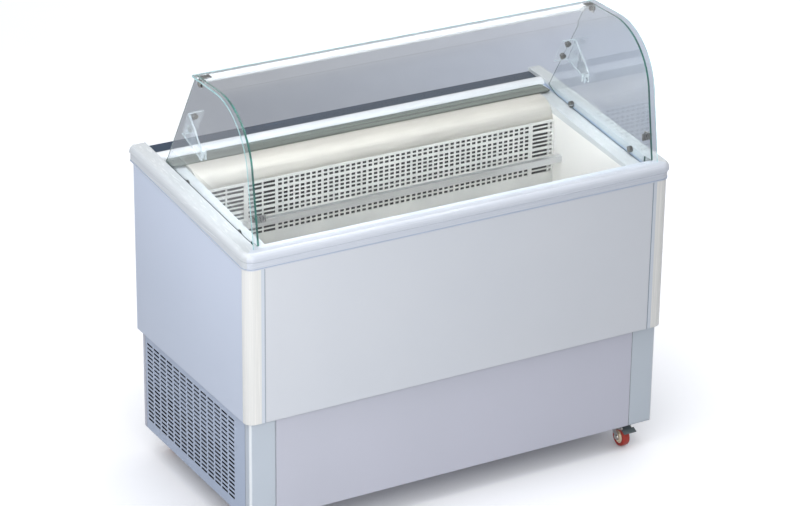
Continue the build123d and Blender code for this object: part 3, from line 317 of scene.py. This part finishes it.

# %% [markdown]
# Each corner profile ends in a flat flange of the same white plastic, drawn in the panel's darker tone as
# painted shade, since the flat flange takes less light than the rounded corner. Where it meets the front
# panel a darker joint is painted shade for the gap in the solids, which is a narrow one. Two bands of tone,
# counted from the profile's inner edge, make both plain.

# %% Flange and joint of the corners
flange_width, joint_width = 0.012, 0.0022
flange_shade_tone, joint_shade_tone = "#D3DAE3", "#9DA9B8"
flange_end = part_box("corner_profile_right")[0][0]
tree, shader, place = parts_of(corner_white)
sideways = add(tree, "ShaderNodeSeparateXYZ", {}, {0: place}).outputs["X"]
from_middle = add(tree, "ShaderNodeMath", {"operation": "ABSOLUTE"}, {0: sideways}).outputs[0]
# Both bands are painted shade: the flange in the panel's tone, the joint darker.
for width, tone in ((flange_width, flange_shade_tone), (joint_width, joint_shade_tone)):
    band = {0: from_middle, 1: flange_end + width}
    mask = add(tree, "ShaderNodeMath", {"operation": "LESS_THAN"}, band).outputs[0]
    overlay(tree, shader, mask, tone)
    print("tone", tone, "up to", round(flange_end + width, 4), "metres from the middle")

# %% [markdown]
# The grille, the controls and the fans are injection moulded. A mould is spark-eroded, which gives an even
# fine grain, about a millimetre across, and a soft gloss. The drain pipe and the foam take the same finish
# here, the foam nearly without gloss.

# %% Moulded plastic
spark_grain, spark_depth = 1.2, 0.04
hand_width = 90.0
soft_gloss = (0.38, 0.52)
no_gloss = (0.8, 0.95)


def moulded_plastic(name, pale, deep, gloss=soft_gloss):
    """Even fine grain in the relief, and a weak drift of tone over a hand's width."""
    material, tree, shader, place = new_finish(name, {"IOR": 1.49})
    drift(tree, shader, grain(tree, place, hand_width), pale, deep, gloss)
    relief(tree, shader, grain(tree, place, spark_grain), spark_depth)
    return material


dress(moulded_plastic("white_moulded_grille", "#DEDEDA", "#D4D5D2"), "rear_grille")
dress(moulded_plastic("black_moulded_housing", "#2A2B2E", "#202124"), "control_unit", "power_inlet")
dress(
    moulded_plastic("grey_moulded_keys", "#6A6D72", "#5C5F64"),
    "control_key_down", "control_key_up", "switch_rocker",
)
dress(
    moulded_plastic("black_moulded_fan", "#26272A", "#1C1D20"),
    "evaporator_fan_left", "evaporator_fan_right", "condenser_fan",
)
dress(moulded_plastic("grey_drain_pipe", "#94989F", "#858A92"), "drain_pipe")
dress(moulded_plastic("cream_foam", "#E8DBB0", "#DCCDA0", no_gloss), "insulation_foam")

# %% [markdown]
# Sheet steel and aluminium get their look from the roll that finished them: hair lines along the sheet that
# stretch every highlight across them. Real hair lines are far too fine to show, so they are drawn at 1.5 mm,
# and at 9 mm on the strip, whose broad streaks one sees. The metal keeps the default index, and its
# colour tints what it mirrors. The polished strip is drawn dark grey-green with strong streaks, which is
# painted reflection of the dark surroundings and bright streaks it mirrors.

# %% Rolled and polished metal
hair_size, hair_depth, hair_strength = 1.5, 0.02, 0.25
streak_size = 9.0


def rolled_metal(name, pale, deep, gloss, axis, size=hair_size):
    """Metal with hair lines of a size along one axis, in tone, gloss and relief."""
    material, tree, shader, place = new_finish(name, {"Metallic": 1.0})
    hair = grain(tree, place, size, along[axis])
    drift(tree, shader, hair, pale, deep, gloss)
    relief(tree, shader, hair, hair_depth, hair_strength)
    return material


dress(rolled_metal("polished_stainless_hood", "#D7D4CD", "#CFCCC5", (0.58, 0.70), "x"), "air_hood")
# The strip's dark, strongly streaked tone is painted reflection.
dress(
    rolled_metal("polished_strip_painted_reflection", "#7E8880", "#4A524B", (0.18, 0.30), "x", streak_size),
    "steel_strip",
)
dress(rolled_metal("drawn_stainless_rail", "#E6E8EA", "#D8DADE", (0.25, 0.35), "x"), "pan_rails")
dress(rolled_metal("galvanised_sheet", "#6E7276", "#5C6066", (0.35, 0.5), "z"), "condenser_shroud")
dress(rolled_metal("turned_stainless_bolts", "#8A8884", "#6C6A67", (0.16, 0.28), "z"), "glass_bolts")
dress(rolled_metal("bright_folded_clamps", "#CFCFCD", "#BDBEBD", (0.22, 0.34), "z"), "glass_clamps")
dress(rolled_metal("drawn_copper_tube", "#C98560", "#A9633F", (0.25, 0.4), "z"), "refrigerant_lines")
dress(
    rolled_metal("zinc_plated_steel", "#E2E2DE", "#C8C8C3", (0.28, 0.45), "z"),
    "caster_plates", *[name for name in nodes if name.startswith("caster_fork")],
)

# %% [markdown]
# The brake pedals and the machines are steel under one coat of paint, grey or black. Paint and powder look
# alike at this size, so the powder coat's function serves with darker tones. The fan plate behind the
# grille, a galvanised sheet, takes the black too, as painted shade for the dark there.

# %% Painted steel
dress(
    powder_coat("grey_painted_pedal", "#566062", "#465052"),
    *[name for name in nodes if name.startswith("brake_pedal")],
)
# On the fan plate this black is painted shade for the dark behind the grille.
dress(
    powder_coat("black_paint_and_shade_steel", "#1F2023", "#17181A"),
    "compressor", "evaporator_motors", "condenser_motor", "fan_plate",
)

# %% [markdown]
# A coil is a pack of thin aluminium fins. They stand in a wave pattern here, because only slots and grille
# holes give a view of them. Real fins are about 3.5 mm apart, too fine to show, so they are drawn at 22 mm.
# Both coils are drawn dark grey and black, which is painted shade for the dark deep inside the case behind
# the slots and the grille.

# %% Fins of the two coils
fin_pitch, fin_depth, fin_strength = 22.0, 0.8, 0.8
fin_gloss = (0.35, 0.5)
radians_per_unit = 20.0


def fin_pack(name, direction, pale, deep):
    """Metal whose wave pattern, one wave per fin that is drawn, sets tone, gloss and relief.

    The band pattern turns by 20 radians per unit of its scale, and one wave is two pi of them.
    """
    material, tree, shader, place = new_finish(name, {"Metallic": 1.0})
    settings = {"wave_type": "BANDS", "bands_direction": direction}
    scale = per_metre(fin_pitch) * 2 * np.pi / radians_per_unit
    wave = add(tree, "ShaderNodeTexWave", settings, {"Vector": place, "Scale": scale}).outputs["Fac"]
    drift(tree, shader, wave, pale, deep, fin_gloss)
    relief(tree, shader, wave, fin_depth, fin_strength)
    return material


# The dark fin tones are painted shade for the inside of the case.
dress(fin_pack("grey_fins_painted_shade", "X", "#5A5C60", "#1E2023"), "evaporator_coil")
dress(fin_pack("black_fins_painted_shade", "Y", "#3A3D42", "#1C1E22"), "condenser_coil")

# %% [markdown]
# The hood is float glass: clear across its thickness, and green along its cut edges, because there one looks
# through a long way of glass. The edge could be a strip of its own, but the pane's own faces already tell it
# apart by the way they point. Light is let straight through for shadows, since sharp caustics only add
# noise.

# %% Clear panes with green edges
smear_size, edge_mottle = 140.0, 35.0
wet_gloss = (0.12, 0.25)
shadow_tint = "#FCFDFD"
# A face points along X where the X part of its normal is past this limit.
edge_turn = 0.7
# A rear limit behind everything, for a pane whose rear edge needs no telling apart.
far = 10.0


def cut_edge(tree, place, pale, deep):
    """Ground and polished edge: green glass in slow bands along the edge, with a wet gloss."""
    polish = {"IOR": 1.5, "Coat Weight": 0.6, "Coat Roughness": 0.05}
    shader = add(tree, "ShaderNodeBsdfPrincipled", {}, polish)
    drift(tree, shader, grain(tree, place, edge_mottle), pale, deep, wet_gloss)
    return shader.outputs[0]


def clear_sheet(name, pale, deep, edge, edge_faces_x, rear=far):
    """Clear sheet, faintly smeared; its edges point along X, or don't, or lie past the rear."""
    clear_glass = {"Transmission Weight": 1.0, "Roughness": 0.0, "IOR": 1.5}
    material, tree, shader, place = new_finish(name, clear_glass)
    drift(tree, shader, grain(tree, place, smear_size), pale, deep)
    clear = add(tree, "ShaderNodeBsdfTransparent", {}, {"Color": linear(shadow_tint)}).outputs[0]
    shadow = add(tree, "ShaderNodeLightPath", {}, {}).outputs["Is Shadow Ray"]
    pane = add(tree, "ShaderNodeMixShader", {}, {0: shadow, 1: shader.outputs[0], 2: clear}).outputs[0]
    normal = add(tree, "ShaderNodeNewGeometry", {}, {}).outputs["True Normal"]
    across = add(tree, "ShaderNodeSeparateXYZ", {}, {0: normal}).outputs["X"]
    turned_x = add(tree, "ShaderNodeMath", {"operation": "ABSOLUTE"}, {0: across}).outputs[0]
    test = "GREATER_THAN" if edge_faces_x else "LESS_THAN"
    is_edge = add(tree, "ShaderNodeMath", {"operation": test}, {0: turned_x, 1: edge_turn}).outputs[0]
    depth = add(tree, "ShaderNodeSeparateXYZ", {}, {0: place}).outputs["Y"]
    behind = add(tree, "ShaderNodeMath", {"operation": "GREATER_THAN"}, {0: depth, 1: rear}).outputs[0]
    cut = add(tree, "ShaderNodeMath", {"operation": "MAXIMUM"}, {0: is_edge, 1: behind}).outputs[0]
    green = cut_edge(tree, place, *edge)
    whole = add(tree, "ShaderNodeMixShader", {}, {0: cut, 1: pane, 2: green}).outputs[0]
    tree.links.new(whole, tree.nodes["Material Output"].inputs["Surface"])
    return material


# The rear edge of the bent pane is what lies within this skin of its rearmost point.
edge_skin = 0.0002
pale_edge = ("#B7DCDD", "#8CC4C4")
deep_edge = ("#22655C", "#174F48")
pane_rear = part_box("front_glass")[1][1] - edge_skin
dress(clear_sheet("bent_float_glass", "#F4F7F8", "#F0F3F5", pale_edge, True, pane_rear), "front_glass")
flat_glass = clear_sheet("flat_float_glass", "#F2F6F7", "#EEF2F5", deep_edge, False)
dress(flat_glass, "end_glass_left", "end_glass_right")

# %% [markdown]
# The brackets are acrylic, bonded face to face on the end glass. Two refracting faces on the same plane
# would trap the light, so the acrylic is a thin film instead: nearly all of it lets the eye through, and
# what is left shows its gloss. Its polished edges catch light and are drawn more solid.

# %% Acrylic brackets
film_alpha, polished_alpha = 0.12, 0.45
edge_limit, face_limit = 0.9, 0.97
arm_faces = (1.0, 0.0, 0.0)
flange_faces = (0.0, 0.88, 0.475)
edge_colours = ("#E6EFF3", "#C6D6DD")
mirror_gloss = (0.05, 0.12)


def acrylic_film(name):
    """Faint on the faces that point along X or across the flange, bright on all others, its edges.

    How well a face points along a direction is the size of its normal's part in that direction.
    """
    skin = {"IOR": 1.49, "Coat Weight": 0.5, "Coat Roughness": 0.04}
    material, tree, shader, place = new_finish(name, skin)
    drift(tree, shader, grain(tree, place, edge_mottle), *edge_colours, mirror_gloss)
    normal = add(tree, "ShaderNodeNewGeometry", {}, {}).outputs["True Normal"]
    nearest = 0.0
    for direction in (arm_faces, flange_faces):
        pair = {0: normal, 1: direction}
        dot = add(tree, "ShaderNodeVectorMath", {"operation": "DOT_PRODUCT"}, pair).outputs["Value"]
        size = add(tree, "ShaderNodeMath", {"operation": "ABSOLUTE"}, {0: dot}).outputs[0]
        nearest = add(tree, "ShaderNodeMath", {"operation": "MAXIMUM"}, {0: size, 1: nearest}).outputs[0]
    spread = {"From Min": edge_limit, "From Max": face_limit, "To Min": polished_alpha, "To Max": film_alpha}
    spread["Value"] = nearest
    tree.links.new(add(tree, "ShaderNodeMapRange", {}, spread).outputs[0], shader.inputs["Alpha"])
    return material


dress(acrylic_film("clear_acrylic"), "hood_brackets")

# %% [markdown]
# A grid of points, a function of two parameters, becomes a mesh by joining neighbours into quads. The same
# helper makes every new piece below. Each row is a ring, and the rows end in flat caps or join into a larger
# ring, so every piece is a closed body with its faces outwards. Edges sharper than the limit stay crisp.

# %% Helper for surfaces
crisp_angle = np.radians(35)


def surface(name, points, material, body, capped):
    """Closed mesh of a grid of points whose rows are rings; end rings get flat caps, or join each other."""
    rows, columns, _ = points.shape
    index = np.arange(rows * columns).reshape(rows, columns)
    beside = np.roll(index, -1, axis=1)
    quads = np.stack([index, beside, np.roll(beside, -1, axis=0), np.roll(index, -1, axis=0)], axis=-1)
    if capped:
        caps = [index[0, ::-1].tolist(), index[-1].tolist()]
        faces = quads[:-1].reshape(-1, 4).tolist() + caps
    else:
        faces = quads.reshape(-1, 4).tolist()
    mesh = bpy.data.meshes.new(name)
    mesh.from_pydata(points.reshape(-1, 3).tolist(), [], faces)
    mesh.materials.append(material)
    mesh.shade_smooth()
    mesh.set_sharp_from_angle(angle=crisp_angle)
    piece = bpy.data.objects.new(name, mesh)
    bpy.context.scene.collection.objects.link(piece)
    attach(piece, body)
    print(name, len(faces), "faces")
    return piece


print("edges stay crisp from", round(np.degrees(crisp_angle)), "degrees")

# %% [markdown]
# The left end glass stands a few millimetres from the raised end of the rim, and a dark rubber strip lines
# that gap. From above it is the thin dark line beside the glass; its dark tone is painted shade, standing in
# for the shade down in the gap. It could be a curve with a bevel, but a profile carried along the sloping
# rim gives its round crown and its flat foot exactly. The picture shows no such line at the right end, so
# there is none here.

# %% Rubber strip beside the end glass
rubber_gloss = (0.5, 0.65)
# The strip's dark tone is painted shade for the gap beside the glass.
gap_shade_rubber = moulded_plastic("dark_rubber_gap_shade", "#4A5256", "#3C4448", rubber_gloss)
rim_tilt = np.radians(4.8)
rim_slope = np.tan(rim_tilt)
rim_front_y, rim_front_z = -0.3485, 0.904
gap_inner, gap_outer = 0.6302, 0.6328
strip_front, strip_rear = -0.283, 0.225
strip_depth, strip_crown, strip_proud = 0.001, 0.0006, 0.0008
crown_points, strip_rings = 7, 9


def strip_profile(count):
    """Half circle over a channel: across the gap from 0 to 1, height above the strip's foot."""
    turn = np.linspace(0, np.pi, count)
    across = np.concatenate([[0.0], (1 - np.cos(turn)) / 2, [1.0]])
    height = np.concatenate([[0.0], strip_depth + strip_crown * np.sin(turn), [0.0]])
    return across, height


across, height = strip_profile(crown_points)
y = np.linspace(strip_front, strip_rear, strip_rings)[:, None]
foot = strip_proud - strip_depth - strip_crown
z = rim_front_z + rim_slope * (y - rim_front_y) + foot + height[None, :]
x = -(gap_outer - across * (gap_outer - gap_inner))[None, :]
points = np.stack(np.broadcast_arrays(x, y, z), axis=-1)
surface("glass_strip_left", points, gap_shade_rubber, "cabinet", capped=True)

# %% [markdown]
# A caster wheel is a red polyurethane tyre cast on a cream nylon hub. Both are turned shapes: a profile of
# radius against width is carried round the axle, as on a lathe. The frame's own wheel is one solid, so two
# pieces stand for it.

# %% Helper for turned shapes, and their materials
turn_points = 64
tyre_gloss, hub_gloss = (0.28, 0.4), (0.35, 0.5)
tyre_red = moulded_plastic("red_cast_polyurethane", "#B8301D", "#A42414", tyre_gloss)
hub_cream = moulded_plastic("cream_moulded_nylon", "#FBF0D8", "#F0E2C6", hub_gloss)


def turned(name, profile, centre, material, body):
    """Profile of (width, radius) pairs carried round an axle that runs along X.

    Y is the radius times the cosine of the turn, and Z the radius times its sine.
    """
    angle = np.linspace(0, 2 * np.pi, turn_points, endpoint=False)[None, :]
    width = np.broadcast_to(profile[:, :1], (len(profile), turn_points))
    radius = profile[:, 1:]
    points = np.stack([width, radius * np.cos(angle), radius * np.sin(angle)], axis=-1)
    return surface(name, points + np.array(centre), material, body, capped=False)


print("a turned shape has", turn_points, "points round its axle")

# %% [markdown]
# The tyre's tread is a flattened arch: its width follows the root of a sine and its radius the root of a
# cosine, so the shoulders are round and the middle is flat. The hub has a boss at the axle, a thinner web
# and a lip under the tyre. Half of it is written down, and the other half is its mirror image.

# %% Profiles of tyre and hub
tyre_half, tyre_radius, shoulder_drop = 0.0115, 0.030, 0.004
hub_radius, axle_radius = 0.020, 0.0041
tread_points = 25
shoulder = np.linspace(-np.pi / 2, np.pi / 2, tread_points)
tread_width = tyre_half * np.sign(np.sin(shoulder)) * np.sqrt(np.abs(np.sin(shoulder)))
tread_radius = tyre_radius - shoulder_drop * (1 - np.sqrt(np.cos(shoulder)))
tread = np.stack([tread_width, tread_radius], axis=-1)
tyre_profile = np.concatenate([[[-tyre_half, hub_radius]], tread, [[tyre_half, hub_radius]]])
boss_half, boss_radius = 0.0115, 0.008
web_half, web_inner, web_outer = 0.0075, 0.0095, 0.0165
lip_half, lip_inner = 0.0105, 0.0185
half_hub = np.array([
    [boss_half, axle_radius],
    [boss_half, boss_radius],
    [web_half, web_inner],
    [web_half, web_outer],
    [lip_half, lip_inner],
    [lip_half, hub_radius],
])
hub_profile = np.concatenate([half_hub * [-1, 1], half_hub[::-1]])
print("tyre", len(tyre_profile), "and hub", len(hub_profile), "points in profile")

# %% Caster wheels
for name in ("front_left", "front_right", "rear_left", "rear_right"):
    low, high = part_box(f"caster_wheel_{name}")
    centre = (np.array(low) + np.array(high)) / 2
    tyre = turned(f"tyre_{name}", tyre_profile, centre, tyre_red, f"wheel_{name}")
    turned(f"hub_{name}", hub_profile, centre, hub_cream, f"wheel_{name}")
    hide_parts(f"caster_wheel_{name}")

# %% [markdown]
# The floor is a plain pale sheet far larger than the case. It could be lit until it is white, but that would
# burn out the case. Instead it adds a little glow of its own to what the eye and mirrors see, less of it
# where the case hides the sky: its open parts then reach white, and its shadow still shows.

# %% Floor
floor_half = 30.0
floor_mottle = 900.0
floor_gloss = (0.8, 0.9)
floor_glow = 0.72
shade_reach = 0.7


def seen_rays(tree):
    """One for what the eye or a mirror sees, zero for what only lights things or shows through glass."""
    path = add(tree, "ShaderNodeLightPath", {}, {})
    parted = {0: path.outputs["Is Glossy Ray"], 1: path.outputs["Is Transmission Ray"]}
    mirrored = add(tree, "ShaderNodeMath", {"operation": "SUBTRACT"}, parted).outputs[0]
    joined = {0: path.outputs["Is Camera Ray"], 1: mirrored}
    return add(tree, "ShaderNodeMath", {"operation": "MAXIMUM"}, joined).outputs[0]


floor_base = {"Specular IOR Level": 0.1, "Emission Color": linear("#FFFFFF")}
floor_material, tree, shader, place = new_finish("pale_studio_floor", floor_base)
drift(tree, shader, grain(tree, place, floor_mottle), "#D0D2D8", "#CBCDD3", floor_gloss)
open_sky = add(tree, "ShaderNodeAmbientOcclusion", {}, {"Distance": shade_reach}).outputs["AO"]
lit = add(tree, "ShaderNodeMath", {"operation": "MULTIPLY"}, {0: seen_rays(tree), 1: open_sky}).outputs[0]
glow = add(tree, "ShaderNodeMath", {"operation": "MULTIPLY"}, {0: lit, 1: floor_glow}).outputs[0]
tree.links.new(glow, shader.inputs["Emission Strength"])
span = np.array([-floor_half, floor_half])
floor_x, floor_y = np.meshgrid(span, span)
floor_points = np.stack([floor_x, floor_y, np.zeros((2, 2))], axis=-1).reshape(-1, 3)
floor_mesh = bpy.data.meshes.new("floor")
floor_mesh.from_pydata(floor_points.tolist(), [], [[0, 1, 3, 2]])
floor_mesh.materials.append(floor_material)
floor = bpy.data.objects.new("floor", floor_mesh)
bpy.context.scene.collection.objects.link(floor)
print("floor", 2 * floor_half, "metres wide")

# %% [markdown]
# The world is white to the eye and to mirrors, and dimmer as a light, so the picture's ground is white and
# the case keeps its shading. What shows through glass keeps the dimmer tone too, so a pane stands out as a
# pale grey sheet against the white.

# %% World
ambient = 0.36
world = bpy.data.worlds.new("studio")
bpy.context.scene.world = world
world.use_nodes = True
tree = world.node_tree
tree.nodes.clear()
light = add(tree, "ShaderNodeBackground", {}, {"Color": linear("#EEF1F6"), "Strength": ambient}).outputs[0]
white = add(tree, "ShaderNodeBackground", {}, {"Color": linear("#FFFFFF"), "Strength": 1.0}).outputs[0]
mixed = add(tree, "ShaderNodeMixShader", {}, {0: seen_rays(tree), 1: light, 2: white}).outputs[0]
add(tree, "ShaderNodeOutputWorld", {}, {"Surface": mixed})
print("world lights at", ambient, "and shows as white")

# %% [markdown]
# Four soft boxes: a long one over the top, which lights the well, one close to the front left corner, so
# that the front pales towards it, a weak one beside the left rim, and one that lights the floor behind the
# right end of the glass. A point light would draw hard shadows, and a catalogue picture has none. The
# camera doesn't see the boxes, and without multiple importance sampling the smooth glass doesn't either.

# %% Soft boxes
def soft_box(name, place, aim, size, watts, colour):
    """Area light of a width and depth at a place, turned to a point; only its light shows, not the box."""
    lamp = bpy.data.lights.new(name, "AREA")
    lamp.shape = "RECTANGLE"
    lamp.size, lamp.size_y = size
    lamp.energy = watts
    lamp.color = linear(colour)[:3]
    lamp.cycles.use_multiple_importance_sampling = False
    box = bpy.data.objects.new(name, lamp)
    back = np.array(place) - np.array(aim)
    box.location = place
    box.rotation_euler = Vector(back.tolist()).to_track_quat("Z", "Y").to_euler()
    box.visible_camera = False
    bpy.context.scene.collection.objects.link(box)
    print(name, watts, "watts,", round(float(np.linalg.norm(back)), 2), "metres from its aim")


middle = (0.0, 0.0, 0.6)
left_rim = (-0.7, 0.0, 0.8)
right_floor = (3.0, 2.4, 0.0)
soft_box("key_box", (-1.45, -2.2, 1.3), middle, (1.8, 1.8), 31.0, "#FFFFFF")
soft_box("left_box", (-1.25, 0.0, 1.2), left_rim, (1.2, 0.4), 2.4, "#EEF3FF")
soft_box("top_box", (-0.2, -0.5, 3.1), middle, (3.4, 1.3), 41.0, "#FFFFFF")
soft_box("floor_box", (3.0, 2.4, 1.8), right_floor, (1.0, 1.0), 28.0, "#E6EEFF")

# %% [markdown]
# The camera was found by fitting the case's corners and hood to the picture: a long lens, thirty degrees to
# the left of the front, looking down. Its axes are written as a matrix, since a small roll is part of the
# fit.

# %% Camera
azimuth, elevation, roll = np.radians([-29.95, 24.45, 0.77])
target = np.array([0.0, 0.0, 0.484])
offset_right, offset_down, distance = 0.00344, 0.13103, 9.21424
focal_pixels, picture_width, sensor = 3200.0, 800, 36.0
back = np.array([
    np.sin(azimuth) * np.cos(elevation),
    -np.cos(azimuth) * np.cos(elevation),
    np.sin(elevation),
])
unrolled = np.cross(-back, [0, 0, 1])
unrolled /= np.linalg.norm(unrolled)
raised = np.cross(unrolled, -back)
right = np.cos(roll) * unrolled + np.sin(roll) * raised
up = np.cos(roll) * raised - np.sin(roll) * unrolled
eye = target - offset_right * right + offset_down * up + distance * back
pose = np.identity(4)
pose[:3] = np.stack([right, up, back, eye], axis=1)
camera_data = bpy.data.cameras.new("camera")
camera_data.sensor_width = sensor
camera_data.lens = focal_pixels / picture_width * sensor
camera = bpy.data.objects.new("camera", camera_data)
camera.matrix_world = Matrix(pose.tolist())
bpy.context.scene.collection.objects.link(camera)
bpy.context.scene.camera = camera
bpy.context.scene.view_settings.view_transform = "Standard"
print("camera at", np.round(eye, 3).tolist(), "lens", round(camera_data.lens, 1))

# %% [markdown]
# Last, the script says that the scene is dressed.

# %% Finish
print("scene dressed")
